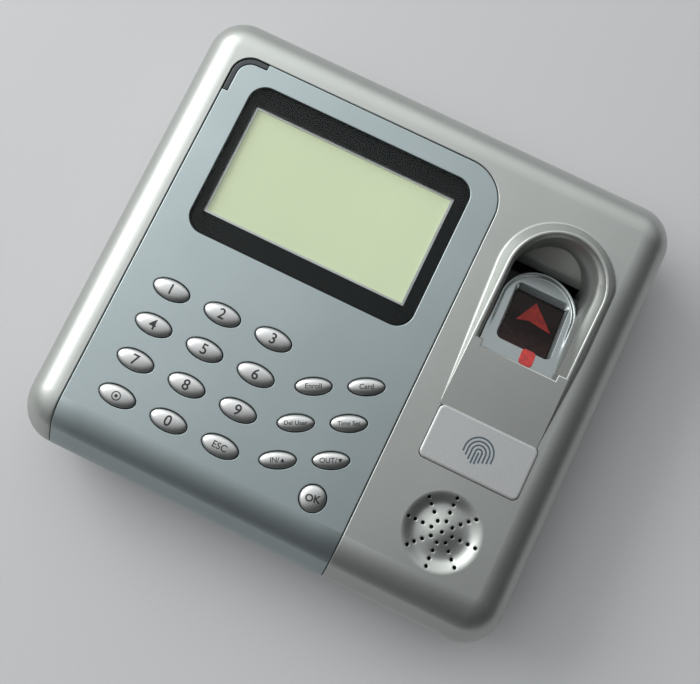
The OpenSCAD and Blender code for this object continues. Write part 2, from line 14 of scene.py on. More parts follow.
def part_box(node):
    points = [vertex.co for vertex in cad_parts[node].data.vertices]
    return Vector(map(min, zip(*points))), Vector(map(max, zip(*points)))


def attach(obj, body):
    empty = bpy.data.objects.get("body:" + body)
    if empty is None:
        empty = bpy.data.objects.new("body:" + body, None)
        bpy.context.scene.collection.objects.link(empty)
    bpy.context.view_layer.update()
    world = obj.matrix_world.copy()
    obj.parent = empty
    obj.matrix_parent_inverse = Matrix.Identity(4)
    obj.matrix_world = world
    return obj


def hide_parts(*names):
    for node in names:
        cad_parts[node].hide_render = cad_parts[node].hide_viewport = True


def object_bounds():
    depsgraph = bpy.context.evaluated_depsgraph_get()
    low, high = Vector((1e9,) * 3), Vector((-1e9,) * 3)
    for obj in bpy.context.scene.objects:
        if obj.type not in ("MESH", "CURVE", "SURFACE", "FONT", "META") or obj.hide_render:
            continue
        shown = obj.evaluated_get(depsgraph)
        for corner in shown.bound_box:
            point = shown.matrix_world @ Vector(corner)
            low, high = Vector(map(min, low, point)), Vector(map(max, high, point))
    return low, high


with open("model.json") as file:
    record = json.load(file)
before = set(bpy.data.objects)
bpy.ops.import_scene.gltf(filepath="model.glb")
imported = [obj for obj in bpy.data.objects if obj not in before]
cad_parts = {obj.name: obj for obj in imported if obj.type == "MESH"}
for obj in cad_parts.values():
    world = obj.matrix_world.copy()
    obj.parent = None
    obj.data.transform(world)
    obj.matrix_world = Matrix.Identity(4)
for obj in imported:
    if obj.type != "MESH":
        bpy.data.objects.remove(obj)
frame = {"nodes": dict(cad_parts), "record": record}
CAD_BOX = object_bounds()
MM = 0.001


def low(node):
    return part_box(node)[0] / MM


def high(node):
    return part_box(node)[1] / MM


def middle(node):
    return (low(node) + high(node)) / 2


# ---- Sizes, from the frame where it has them ----

BODY_W = high("front_cover").x - low("front_cover").x
BODY_H = high("front_cover").y - low("front_cover").y
FACE = high("keypad_panel").z
COVER_LOW = low("front_cover").z
WALL = 2.5
EDGE_R = 12
CORNER_R = 13.6
DRAFT = 0.4
TOE_R = 16
TOE_RUN = 16.7
TOE_BEND = 4.7
TOE_BEND_RUN = 5.4
TOE_DROP = 10.5
TOE_SOFT = 1.3

PANEL_L = low("keypad_panel").x
PANEL_R = high("keypad_panel").x
PANEL_T = high("keypad_panel").y
PANEL_R1 = 7
PANEL_R2 = 14
SEAM = 0.25
SEAM_DEPTH = WALL - 0.1
EDGE_SOFT = 0.35
LIP = 3
WINDOW_R = 6
WINDOW_GAP = 0.15
LIGHT_W = 2
LIGHT_GAP = 0.12
LIGHT_Y = low("status_light").y - 0.15
LIGHT_X = high("status_light").x + 0.15

HOOD_X = 54.8
HOOD_LOW = -12
HOOD_MID = 38.8
CREST_R = 17.1
HOOD_RISE = high("front_cover").z - FACE
WALL_LEAN = 0.67
FACE_EDGE = BODY_W / 2 - EDGE_R - DRAFT - 0.2
PIT_R = 15.9
PIT_RIM = 0.55
PIT_NARROWS = 2.5
PIT_FUNNEL = 9.5
PIT_SHIFT = -1.2
PIT_LOW = 10.5
PIT_STEP = 12.7
PIT_STEP_X = 13.2
PIT_DEPTH = 18
SLOPE_Y = 44.6
SLOPE_DEPTH = 12
SLOPE_ANGLE = math.radians(50)

PLATE_AT = Vector((HOOD_X - 0.2, 10.5, FACE - 0.5))
PLATE_TILT = math.radians(-16)
BEZEL_R = 13.7
BEZEL_X = -0.4
BEZEL_MID = 20.9
BEZEL_LOW = 0.2
BEZEL_THICK = 2.3
GLASS_W = 17.5
GLASS_L = 19.5
GLASS_Y = 6.4
GLASS_LOW = 1.7
PRISM_HALF = 8.6

DISH_R = 13.2
DOME_R = 8.6
DISH_DEEP = 1.8
DOME_LOW = 0.2
STAR_R = 11.7
STAR_HOLE = 0.62
STAR_SPOKES = 8
STAR_STEPS = (0.31, 0.56, 0.79, 1)

KEY_GAP = 0.35
KEY_FLANGE = 0.9
FN_TURN = math.radians(25.3)
NUMBER_SIZE = (12.4, 6.3)
FUNCTION_SIZE = (11.6, 5.3)
OK_SIZE = (8.5, 8.5)
KEY_LOW = 0.15
KEY_HIGH = 1.35
LABEL_RISE = 0.03
LABEL_EDGE = 0.45
DIGIT_HEIGHT = 5.0
ESCAPE_HEIGHT = 3.1
WORD_HEIGHT = 2.35
LONG_WORD_HEIGHT = 2.05
OK_HEIGHT = 3.3
KEY_LABELS = {
    "key_1": "1", "key_2": "2", "key_3": "3", "key_4": "4", "key_5": "5", "key_6": "6",
    "key_7": "7", "key_8": "8", "key_9": "9", "key_bell": "", "key_0": "0", "key_escape": "ESC",
}
FUNCTION_LABELS = {
    "key_enrol": "Enroll", "key_card": "Card", "key_delete_user": "Del User",
    "key_time_set": "Time Set", "key_in_up": "IN/", "key_out_down": "OUT/",
}

BADGE_GAP = 0.12
BADGE_R = 2.2
BADGE_EDGE = 0.6
SIGN_STROKE = 0.55

CAMERA_AT = (13.8, -31.5, 296)
CAMERA_RIGHT = (0.8998, 0.4362, 0.0044)
CAMERA_BACK = (0.0411, -0.0948, 0.9946)
CAMERA_LENS = 41.14
FLOOR_HALF = 3


# ---- Outlines ----

def arc(centre, r, start, turn, n):
    """Points of an arc about centre, from the angle start through turn degrees."""
    angles = [math.radians(start + turn * i / n) for i in range(n + 1)]
    return [(centre[0] + r * math.cos(a), centre[1] + r * math.sin(a)) for a in angles]


def rounded(lo, hi, r, n=10):
    """Rounded rectangle, anticlockwise."""
    return (arc((hi[0] - r, hi[1] - r), r, 0, 90, n) + arc((lo[0] + r, hi[1] - r), r, 90, 90, n)
            + arc((lo[0] + r, lo[1] + r), r, 180, 90, n) + arc((hi[0] - r, lo[1] + r), r, 270, 90, n))


def oval(at, a, b, turn=0.0, n=64):
    """Ellipse with semi-axes a and b about at, turned by an angle in radians."""
    points = []
    for i in range(n):
        t = 2 * math.pi * i / n
        x, y = a * math.cos(t), b * math.sin(t)
        points.append((at[0] + x * math.cos(turn) - y * math.sin(turn),
                       at[1] + x * math.sin(turn) + y * math.cos(turn)))
    return points


def without_repeats(path):
    kept = [path[0]]
    for p in path[1:]:
        if math.dist(p, kept[-1]) > 1e-6:
            kept.append(p)
    return kept


def offset(path, grow, closed=True):
    """The path moved to its right-hand side by grow, with mitred corners."""
    n, out = len(path), []
    for i, p in enumerate(path):
        before = path[i - 1] if closed or i > 0 else None
        after = path[(i + 1) % n] if closed or i < n - 1 else None
        sides = []
        for a, b in ((before, p), (p, after)):
            if a is not None and b is not None and math.dist(a, b) > 1e-9:
                d = Vector((b[0] - a[0], b[1] - a[1])).normalized()
                sides.append(Vector((d.y, -d.x)))
        if len(sides) == 2:
            move = (sides[0] + sides[1]) / max(0.4, 1 + sides[0].dot(sides[1]))
        else:
            move = sides[0]
        out.append((p[0] + move.x * grow, p[1] + move.y * grow))
    return out


# ---- Mesh building ----

def ring(bm, points):
    return [bm.verts.new(p) for p in points]


def at_height(path, z):
    return [(x, y, z(x, y) if callable(z) else z) for x, y in path]


def bridge(bm, a, b, closed=True):
    """Smooth quads between two rings of as many vertices."""
    n = len(a)
    for i in range(n if closed else n - 1):
        j = (i + 1) % n
        corners = []
        for v in (a[i], a[j], b[j], b[i]):
            if not any((v.co - w.co).length < 1e-7 for w in corners):
                corners.append(v)
        if len(corners) > 2:
            bm.faces.new(corners).smooth = True


def bridge_all(bm, rings, closed=True):
    for a, b in zip(rings, rings[1:]):
        bridge(bm, a, b, closed)


def rim(bm, path, top, side, radius, depth, closed=True, steps=5):
    """A rounded edge along a path, then a wall down to depth. side is 1 where the solid lies on the path's
    right, and -1 on its left. Returns the rings, the first of them on the face."""
    rings = []
    for k in range(steps + 1):
        t = math.pi / 2 * k / steps
        across = offset(path, side * radius * (1 - math.sin(t)), closed)
        points = at_height(across, top)
        rings.append(ring(bm, [(x, y, z - radius * (1 - math.cos(t))) for x, y, z in points]))
    if depth > radius:
        rings.append(ring(bm, [(x, y, z - depth) for x, y, z in at_height(path, top)]))
    bridge_all(bm, rings, closed)
    return rings


def inside(point, loops):
    """Is the point inside an odd number of the loops?"""
    x, y = point
    odd = False
    for loop in loops:
        for (x0, y0), (x1, y1) in zip(loop, loop[1:] + loop[:1]):
            if (y0 > y) != (y1 > y) and x < x0 + (y - y0) * (x1 - x0) / (y1 - y0):
                odd = not odd
    return odd


def fill(bm, loops, extra=(), smooth=False):
    """Triangles between the first ring of vertices and the others, which are holes."""
    verts = [v for loop in loops for v in loop] + list(extra)
    edges, start = [], 0
    for loop in loops:
        n = len(loop)
        edges += [(start + i, start + (i + 1) % n) for i in range(n)]
        start += n
    flat = [Vector((v.co.x, v.co.y)) for v in verts]
    points, _, faces, sources, _, _ = delaunay_2d_cdt(flat, edges, [], 0, 1e-5)
    outlines = [[(v.co.x, v.co.y) for v in loop] for loop in loops]
    made = []
    for f in faces:
        centre = sum((points[i] for i in f), Vector((0, 0))) / len(f)
        if any(not sources[i] for i in f) or not inside(centre, outlines):
            continue
        corners = [verts[sources[i][0]] for i in f]
        if len(set(corners)) == 3 and not bm.faces.get(corners):
            face = bm.faces.new(corners)
            face.smooth = smooth
            made.append(face)
    return made


def finish_piece(name, bm, material, body, replaces=(), place=None, merge=1e-4):
    """Makes an object of a mesh in millimetres, hangs it on its body and hides the CAD parts it replaces."""
    bmesh.ops.remove_doubles(bm, verts=bm.verts, dist=merge)
    bmesh.ops.recalc_face_normals(bm, faces=bm.faces)
    up = sum(f.normal.z * f.calc_area() for f in bm.faces if f.normal.z * f.calc_center_median().z > 0)
    down = sum(-f.normal.z * f.calc_area() for f in bm.faces if f.normal.z < 0)
    highest = max(bm.faces, key=lambda f: f.calc_center_median().z)
    if highest.normal.z < 0 and down > up:
        bmesh.ops.reverse_faces(bm, faces=bm.faces)
    scale = Matrix.Scale(MM, 4)
    bm.transform(scale @ place if place else scale)
    mesh = bpy.data.meshes.new(name)
    bm.to_mesh(mesh)
    bm.free()
    return finish_mesh(name, mesh, material, body, replaces)


def finish_mesh(name, mesh, material, body, replaces=()):
    mesh.materials.clear()
    mesh.materials.append(material)
    piece = bpy.data.objects.new(name, mesh)
    bpy.context.scene.collection.objects.link(piece)
    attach(piece, body)
    if replaces:
        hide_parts(*replaces)
    return piece


# ---- Materials ----

class Surface:
    """A material under construction: a Principled shader, with shortcuts for the nodes that feed it."""

    def __init__(self, name, colour, metallic=0.0, roughness=0.5, coat=0.0, **sockets):
        self.material = bpy.data.materials.new(name)
        self.material.use_nodes = True
        self.nodes = self.material.node_tree.nodes
        self.links = self.material.node_tree.links
        self.shader = self.nodes["Principled BSDF"]
        self.colour = (*colour, 1)
        self.shader.inputs["Base Color"].default_value = self.colour
        self.shader.inputs["Metallic"].default_value = metallic
        self.shader.inputs["Roughness"].default_value = roughness
        self.shader.inputs["Coat Weight"].default_value = coat
        self.shader.inputs["Coat Roughness"].default_value = 0.12
        for socket, value in sockets.items():
            self.shader.inputs[socket.replace("_", " ")].default_value = value
        self.coords = self.nodes.new("ShaderNodeTexCoord").outputs["Object"]

    def node(self, kind, inputs=(), **settings):
        n = self.nodes.new("ShaderNode" + kind)
        for key, value in settings.items():
            setattr(n, key, value)
        for key, value in dict(inputs).items():
            if isinstance(value, bpy.types.NodeSocket):
                self.links.new(value, n.inputs[key])
            else:
                n.inputs[key].default_value = value
        return n

    def noise(self, per_metre, detail=2.0, roughness=0.5, stretch=None):
        vector = self.coords
        if stretch:
            vector = self.node("Mapping", {"Vector": vector, "Scale": stretch}).outputs["Vector"]
        return self.node("TexNoise", {"Vector": vector, "Scale": per_metre, "Detail": detail,
                                      "Roughness": roughness}).outputs["Fac"]

    def spread(self, value, low_value, high_value, start=0.3, end=0.7):
        return self.node("MapRange", {"Value": value, "From Min": start, "From Max": end,
                                      "To Min": low_value, "To Max": high_value}).outputs["Result"]

    def tint(self, value, dark, light):
        """Base colour between two shares of the material's own colour."""
        ramp = self.node("ValToRGB", {"Fac": value})
        for element, place, share in zip(ramp.color_ramp.elements, (0.3, 0.7), (dark, light)):
            element.position = place
            element.color = (*[min(1, c * share) for c in self.colour[:3]], 1)
        self.links.new(ramp.outputs["Color"], self.shader.inputs["Base Color"])
        return ramp.outputs["Color"]

    def rough(self, value, low_value, high_value):
        self.links.new(self.spread(value, low_value, high_value), self.shader.inputs["Roughness"])

    def bump(self, value, height_mm, strength=1.0):
        n = self.node("Bump", {"Height": value, "Strength": strength, "Distance": height_mm * MM})
        self.links.new(n.outputs["Normal"], self.shader.inputs["Normal"])


def paint(name, colour, metallic=0.55, roughness=0.38, coat=0.15, grain=0.012):
    """Satin metallic paint on plastic: fine flakes over a faint orange peel."""
    s = Surface(name, colour, metallic, roughness, coat)
    flakes = s.noise(5200, 1.0, 0.6)
    cloud = s.noise(38, 3.0, 0.5)
    mixed = s.node("Math", {0: flakes, 1: cloud}, operation="ADD")
    half = s.node("Math", {0: mixed.outputs[0], 1: 0.5}, operation="MULTIPLY")
    s.tint(half.outputs[0], 0.93, 1.05)
    s.rough(flakes, roughness - 0.05, roughness + 0.06)
    peel = s.noise(900, 2.0, 0.5)
    both = s.node("Math", {0: flakes, 1: peel}, operation="ADD")
    s.bump(both.outputs[0], grain, 0.5)
    return s.material


def moulded(name, colour, roughness=0.55, grain=0.03, scale=1500, coat=0.0):
    """Moulded plastic or rubber with a fine spark texture."""
    s = Surface(name, colour, 0.0, roughness, coat)
    grains = s.noise(scale, 3.0, 0.6)
    s.tint(s.noise(60, 3.0, 0.5), 0.86, 1.14)
    s.rough(grains, roughness - 0.08, roughness + 0.1)
    s.bump(grains, grain, 0.6)
    return s.material


def paper(name, colour):
    """A matt, almost even sheet."""
    s = Surface(name, colour, 0.0, 0.8, Specular_IOR_Level=0.2)
    s.tint(s.noise(600, 2.0, 0.5), 0.995, 1.005)
    return s.material


def print_ink(name, colour):
    """Screen-printed ink on the back of a clear pane: smooth, with slightly uneven cover."""
    s = Surface(name, colour, 0.0, 0.3, Specular_IOR_Level=0.15)
    s.tint(s.noise(150, 2.0, 0.5), 0.94, 1.06)
    s.rough(s.noise(300, 2.0, 0.5), 0.3, 0.34)
    return s.material


def metal(name, colour, roughness=0.3, stretch=(1, 12, 1), scale=700):
    """Plated or brushed sheet metal with fine streaks along one direction."""
    s = Surface(name, colour, 1.0, roughness)
    streaks = s.noise(scale, 3.0, 0.6, stretch)
    s.tint(s.noise(90, 4.0, 0.6), 0.85, 1.1)
    s.rough(streaks, roughness - 0.07, roughness + 0.12)
    s.bump(streaks, 0.008, 0.5)
    return s.material


def circuit_board(name, colour):
    """Solder-masked board: tracks show as a faint woven relief under the mask."""
    s = Surface(name, colour, 0.0, 0.35, 0.4)
    tracks = s.node("TexBrick", {"Vector": s.coords, "Scale": 260.0, "Mortar Size": 0.03,
                                 "Color1": (1, 1, 1, 1), "Color2": (0.8, 0.8, 0.8, 1),
                                 "Mortar": (0.2, 0.2, 0.2, 1)})
    s.tint(tracks.outputs["Color"], 0.7, 1.25)
    s.bump(tracks.outputs["Color"], 0.03, 0.4)
    return s.material


def liquid_crystal(name, colour):
    """The display's face: a fine grid of pixels in a pale green layer, with a faint painted glow that stands
    in for the light falling on it.
    """
    s = Surface(name, colour, 0.0, 0.55, 0.0, Specular_IOR_Level=0.2)
    grid = s.node("TexBrick", {"Vector": s.coords, "Scale": 900.0, "Mortar Size": 0.012,
                               "Color1": (1, 1, 1, 1), "Color2": (0.99, 0.99, 0.99, 1),
                               "Mortar": (0.9, 0.9, 0.9, 1)})
    cloud = s.noise(20, 2.0, 0.4)
    mixed = s.node("Math", {0: cloud, 1: grid.outputs["Fac"]}, operation="SUBTRACT")
    lit = s.tint(mixed.outputs[0], 0.965, 1.02)
    # Painted light: this emission is a glow in place of the light that falls on the display.
    s.links.new(lit, s.shader.inputs["Emission Color"])
    s.shader.inputs["Emission Strength"].default_value = 0.3
    return s.material


def pane(name, tint, roughness=0.03):
    """A thin clear pane: what is behind it shows through, and its face mirrors as acrylic does."""
    material = bpy.data.materials.new(name)
    material.use_nodes = True
    nodes, links = material.node_tree.nodes, material.node_tree.links
    nodes.remove(nodes["Principled BSDF"])
    through = nodes.new("ShaderNodeBsdfTransparent")
    through.inputs["Color"].default_value = (*tint, 1)
    gloss = nodes.new("ShaderNodeBsdfGlossy")
    gloss.inputs["Color"].default_value = (1, 1, 1, 1)
    gloss.inputs["Roughness"].default_value = roughness
    facing = nodes.new("ShaderNodeLayerWeight")
    facing.inputs["Blend"].default_value = 0.5
    grazing = nodes.new("ShaderNodeMath")
    grazing.operation = "POWER"
    grazing.inputs[1].default_value = 5
    share = nodes.new("ShaderNodeMath")
    share.operation = "MULTIPLY_ADD"
    share.inputs[1].default_value = 0.7
    share.inputs[2].default_value = 0.01
    links.new(facing.outputs["Facing"], grazing.inputs[0])
    links.new(grazing.outputs[0], share.inputs[0])
    smudge = nodes.new("ShaderNodeTexNoise")
    smudge.inputs["Scale"].default_value = 45
    smudge.inputs["Detail"].default_value = 4
    coords = nodes.new("ShaderNodeTexCoord")
    links.new(coords.outputs["Object"], smudge.inputs["Vector"])
    spread = nodes.new("ShaderNodeMapRange")
    links.new(smudge.outputs["Fac"], spread.inputs["Value"])
    spread.inputs["To Min"].default_value = roughness
    spread.inputs["To Max"].default_value = roughness + 0.05
    links.new(spread.outputs["Result"], gloss.inputs["Roughness"])
    mix = nodes.new("ShaderNodeMixShader")
    links.new(share.outputs[0], mix.inputs[0])
    links.new(through.outputs[0], mix.inputs[1])
    links.new(gloss.outputs[0], mix.inputs[2])
    links.new(mix.outputs[0], nodes["Material Output"].inputs["Surface"])
    return material


def painted_prism_view(name):
    """The prism's far side as it shows through the glass, painted light on a flat sheet: painted shade at the
    top, paler and warmer below, with a faint painted glow.
    """
    s = Surface(name, (0.24, 0.215, 0.205), 0.0, 0.5)
    y = s.node("SeparateXYZ", {"Vector": s.coords}).outputs["Y"]
    # Painted shade: the sheet darkens towards its top end.
    fall = s.spread(y, 1.0, 0.0, 0.014, 0.034)
    streaks = s.noise(500, 3.0, 0.6, (1, 6, 1))
    shade = s.node("Math", {0: fall, 1: streaks}, operation="MULTIPLY")
    lit = s.tint(s.spread(shade.outputs[0], 0.0, 1.0, 0.1, 0.55), 0.25, 1.5)
    # Painted glow: the emission stands in for light inside the prism.
    s.links.new(lit, s.shader.inputs["Emission Color"])
    s.shader.inputs["Emission Strength"].default_value = 0.25
    return s.material


def glow(name, colour, strength):
    """Faintly lit red plastic, uneven as a lamp behind it makes it."""
    s = Surface(name, colour, 0.0, 0.3, 0.3)
    cloud = s.noise(700, 2.0, 0.5)
    lit = s.tint(cloud, 0.6, 1.1)
    s.links.new(lit, s.shader.inputs["Emission Color"])
    s.shader.inputs["Emission Strength"].default_value = strength
    return s.material


MATERIALS = {
    "case_paint": paint("case_paint", (0.475, 0.49, 0.465), 0.88, 0.4),
    "panel_paint": paint("panel_paint", (0.375, 0.43, 0.435), 0.88, 0.4),
    "bezel_paint": paint("bezel_paint", (0.31, 0.335, 0.335), 0.92, 0.3, grain=0.004),
    "key_silver": paint("key_silver", (0.56, 0.56, 0.55), 0.9, 0.32, 0.1, 0.002),
    "badge_metal": paint("badge_metal", (0.47, 0.475, 0.47), 0.3, 0.3, 0.8, 0.004),
    "window_acrylic": pane("window_acrylic", (0.93, 0.94, 0.93)),
    "mask_black": print_ink("mask_black", (0.004, 0.006, 0.006)),
    "lcd_face": liquid_crystal("lcd_face", (0.62, 0.68, 0.47)),
    "frame_metal": metal("frame_metal", (0.62, 0.62, 0.63), 0.3),
    "board_green": circuit_board("board_green", (0.03, 0.16, 0.07)),
    "screw_steel": metal("screw_steel", (0.58, 0.58, 0.57), 0.32, (1, 1, 8), 900),
    "smoked_lens": moulded("smoked_lens", (0.018, 0.024, 0.028), 0.18, 0.003, 500, 0.5),
    "silicone": moulded("silicone", (0.22, 0.23, 0.22), 0.7, 0.02, 1200),
    "sensor_glass": pane("sensor_glass", (0.50, 0.42, 0.42), 0.04),
    "inner_black": moulded("inner_black", (0.022, 0.022, 0.025), 0.5),
    "foam_black": moulded("foam_black", (0.03, 0.03, 0.03), 0.9, 0.2, 1800),
    "block_green": moulded("block_green", (0.03, 0.20, 0.07), 0.45),
    "ribbon_white": moulded("ribbon_white", (0.6, 0.6, 0.56), 0.4),
    "wire_sleeve": moulded("wire_sleeve", (0.25, 0.02, 0.02), 0.4),
    "rear_black": moulded("rear_black", (0.045, 0.05, 0.054), 0.6, 0.06, 1100),
    "plate_zinc": metal("plate_zinc", (0.55, 0.57, 0.58), 0.38, (1, 6, 1), 260),
    "plunger_red": moulded("plunger_red", (0.35, 0.02, 0.015), 0.4),
}
PRINT_BLACK = moulded("print_black", (0.015, 0.015, 0.017), 0.45, 0.002, 900)
PRINT_SLATE = moulded("print_slate", (0.06, 0.09, 0.12), 0.35, 0.002, 900)
RED_GLOW = glow("red_glow", (0.42, 0.012, 0.008), 0.2)
RED_DIM = glow("red_dim", (0.45, 0.035, 0.02), 0.5)
PRISM_PAINTED_LIGHT = painted_prism_view("prism_painted_light")


# ---- Body surface ----

def soft_toe(d):
    """How far the bottom edge lies in from the wall at depth d: an arc, a slanted toe, then the wall."""
    if d <= TOE_BEND:
        return TOE_RUN - TOE_R * math.sin(math.acos(1 - d / TOE_R))
    slant = TOE_BEND_RUN / (TOE_DROP - TOE_BEND)
    left = TOE_DROP + TOE_SOFT - d
    if left <= 0:
        return 0
    if left >= 2 * TOE_SOFT:
        return slant * (TOE_DROP - d)
    return slant * left * left / (4 * TOE_SOFT)


def side_in(d):
    return EDGE_R * (1 - math.sin(math.acos(1 - d / EDGE_R))) if d < EDGE_R else 0


def draft(d):
    return DRAFT * min(1, (FACE - COVER_LOW - d) / (FACE - COVER_LOW - EDGE_R))


def body_corners(d):
    """The flat's low and high corners and the corner radius of the body's outline at depth d."""
    s = side_in(d) + draft(d)
    lo = (s - BODY_W / 2, soft_toe(d) + draft(d) - BODY_H / 2)
    hi = (BODY_W / 2 - s, BODY_H / 2 - s)
    return lo, hi, CORNER_R - s


DEPTHS = sorted([EDGE_R * (1 - math.cos(math.radians(6 * i))) for i in range(16)]
                + [TOE_BEND, 9.2, 9.9, 10.2, 11.3, 14, 18, 22, FACE - COVER_LOW])


def toe_point(d, inward=0.0):
    """(y, z) of the bottom edge at depth d, moved inward along its normal."""
    def raw(depth):
        return soft_toe(depth) + draft(depth) - BODY_H / 2, FACE - depth
    a, b = raw(max(0, d - 0.05)), raw(min(FACE - COVER_LOW, d + 0.05))
    tangent = Vector((b[0] - a[0], b[1] - a[1])).normalized() if d > 0 else Vector((-1, 0))
    y, z = raw(d)
    return y + tangent.y * -inward, z + tangent.x * inward


def seam_end(x, side, d):
    """Points across a rounded seam edge of the toe at depth d, from the face round into the gap."""
    points = []
    for k in range(1, 6):
        t = math.pi / 2 * k / 5
        y, z = toe_point(d, EDGE_SOFT * (1 - math.cos(t)))
        points.append((x + side * EDGE_SOFT * (1 - math.sin(t)), y, z))
    y, z = toe_point(d, SEAM_DEPTH)
    points.append((x, y, z))
    return points


def panel_path(grow, y0):
    """The keypad panel's edge from its bottom left corner up, round and down to its bottom right."""
    left, right, top = PANEL_L - grow, PANEL_R + grow, PANEL_T + grow
    r1, r2 = PANEL_R1 + grow, PANEL_R2 + grow
    return ([(left, y0)] + arc((left + r1, top - r1), r1, 180, -90, 16)
            + arc((right - r2, top - r2), r2, 90, -90, 24) + [(right, y0)])


def cover_ring(d):
    """The front cover's outline at depth d, anticlockwise from the seam's right side to its left."""
    lo, hi, r = body_corners(d)
    z = FACE - d
    right, left = PANEL_R + SEAM + EDGE_SOFT, PANEL_L - SEAM - EDGE_SOFT
    path = ([(right, lo[1])] + arc((hi[0] - r, lo[1] + r), r, 270, 90, 12)
            + arc((hi[0] - r, hi[1] - r), r, 0, 90, 12) + arc((lo[0] + r, hi[1] - r), r, 90, 90, 12)
            + arc((lo[0] + r, lo[1] + r), r, 180, 90, 12) + [(left, lo[1])])
    return [(x, y, z) for x, y in path]


# ---- Scanner hood ----

def hood_height(x, y):
    return FACE + max(0, (y - HOOD_LOW) * HOOD_RISE / (HOOD_MID + CREST_R - HOOD_LOW))


def crest_path():
    """The hood's crest, anticlockwise from its bottom right corner to its bottom left."""
    side = [HOOD_LOW + (HOOD_MID - HOOD_LOW) * i / 16 for i in range(16)]
    return ([(HOOD_X + CREST_R, y) for y in side] + arc((HOOD_X, HOOD_MID), CREST_R, 0, 180, 40)
            + [(HOOD_X - CREST_R, y) for y in reversed(side)])


def hood_skirt(bm):
    """The hood's sloping walls, rounded at the crest and at the foot. Returns the crest and foot rings."""
    path = crest_path()
    outward = [Vector(b) - Vector(a) for a, b in zip(path, offset(path, 1, False))]
    fall = math.atan(1 / WALL_LEAN)
    sections = []
    for p, n in zip(path, outward):
        h = hood_height(*p) - FACE
        crest_r, foot_r = min(0.9, 0.35 * h), min(1.3, 0.5 * h)
        section = []
        for k in range(7):
            a = fall * k / 6
            section.append((crest_r * (math.sin(a) - math.tan(fall / 2)), h - crest_r * (1 - math.cos(a))))
        for k in range(6, -1, -1):
            a = fall * k / 6
            reach = WALL_LEAN * h + foot_r * math.tan(fall / 2)
            section.append((reach - foot_r * math.sin(a), foot_r * (1 - math.cos(a))))
        room = (FACE_EDGE - p[0]) / n.x if n.x > 0.05 else section[-1][0]
        squeeze = min(1, room / max(section[-1][0], 0.01))
        sections.append([(p[0] + n.x * u * squeeze, p[1] + n.y * u * squeeze, FACE + v)
                         for u, v in section])
    rings = [ring(bm, points) for points in zip(*sections)]
    bridge_all(bm, rings, closed=False)
    return rings[0], rings[-1]


def pit_path(r, shift=0.0):
    """The finger well's opening with half width r, stepped in at its lower end, anticlockwise."""
    x = HOOD_X + shift
    return ([(x + r, PIT_STEP)] + arc((x, HOOD_MID - 0.1), r, 0, 180, 40)
            + [(x - r, PIT_STEP), (x - PIT_STEP_X, PIT_STEP), (x - PIT_STEP_X, PIT_LOW),
               (x + PIT_STEP_X, PIT_LOW), (x + PIT_STEP_X, PIT_STEP)])


def pit_half_width(z):
    """Half width of the well at height z: a funnel that gets steep further down."""
    depth = (FACE + HOOD_RISE - z) / PIT_FUNNEL
    return PIT_R - PIT_NARROWS * (1 - (1 - min(1, depth)) ** 2)


def slope_height(y):
    return FACE - SLOPE_DEPTH + (y - SLOPE_Y) * math.tan(SLOPE_ANGLE)


def hood_pit(bm):
    """The well: its rounded rim, its walls and the slope at its top end. Returns the rim's ring."""
    rim_path = pit_path(PIT_R)
    rings = rim(bm, rim_path, hood_height, 1, PIT_RIM, 0, steps=6)
    floor = FACE - PIT_DEPTH
    deep = pit_half_width(floor)
    slope_x = math.sqrt(deep ** 2 - (SLOPE_Y - HOOD_MID) ** 2)
    bottoms = []
    for x, y in rim_path:
        y_share = (y - HOOD_MID) / PIT_R
        meets = slope_height(HOOD_MID + deep * y_share)
        bottoms.append(meets if HOOD_MID + deep * y_share > SLOPE_Y else floor)
    steps = 16
    for j in range(1, steps + 1):
        points = []
        for i, bottom in enumerate(bottoms):
            start = rings[0][i].co.z - PIT_RIM
            z = start + (bottom - start) * j / steps
            r = pit_half_width(z)
            x, y = pit_path(r, PIT_SHIFT * (PIT_R - r) / (PIT_R - deep))[i]
            points.append((x, y, z))
        rings.append(ring(bm, points))
    bridge_all(bm, rings[-steps - 1:])
    edge = [v for v, b in zip(rings[-1], bottoms) if b > floor]
    middle_x = HOOD_X + PIT_SHIFT
    front = ring(bm, [(middle_x + side * slope_x, SLOPE_Y, FACE - SLOPE_DEPTH) for side in (-1, 1)])
    fill(bm, [edge + front])
    drop = ring(bm, [(v.co.x, v.co.y + 1.5, floor) for v in front])
    bridge(bm, front, drop, closed=False)
    return rings[0]


# ---- Speaker dish ----

def dish_height(r):
    if r < DOME_R:
        return FACE - DOME_LOW - (DISH_DEEP - DOME_LOW) * (1 - math.cos(math.pi * r / DOME_R)) / 2
    return FACE - DISH_DEEP * (1 + math.cos(math.pi * (r - DOME_R) / (DISH_R - DOME_R))) / 2


def speaker_dish(bm, centre):
    """The dish with its star of holes. Returns its outer ring."""
    def height(x, y):
        return dish_height(min(DISH_R, math.dist((x, y), centre)))

    holes = [(centre.x, centre.y)]
    for spoke in range(STAR_SPOKES):
        a = math.radians(360 / STAR_SPOKES * spoke)
        holes += [(centre.x + f * STAR_R * math.cos(a), centre.y + f * STAR_R * math.sin(a))
                  for f in STAR_STEPS]
    loops = [ring(bm, at_height(oval(centre, DISH_R, DISH_R, n=96), FACE))]
    for at in holes:
        rings = rim(bm, oval(at, STAR_HOLE, STAR_HOLE, n=16), height, 1, 0.14, 2.6, steps=2)
        loops.append(rings[0])
    extra = []
    for k in range(1, 27):
        r = DISH_R * k / 27
        for x, y in oval(centre, r, r, n=max(12, int(r * 9))):
            if all(math.dist((x, y), at) > STAR_HOLE + 0.32 for at in holes):
                extra.append(bm.verts.new((x, y, height(x, y))))
    fill(bm, loops, extra, smooth=True)
    return loops[0]


# ---- Housing pieces ----

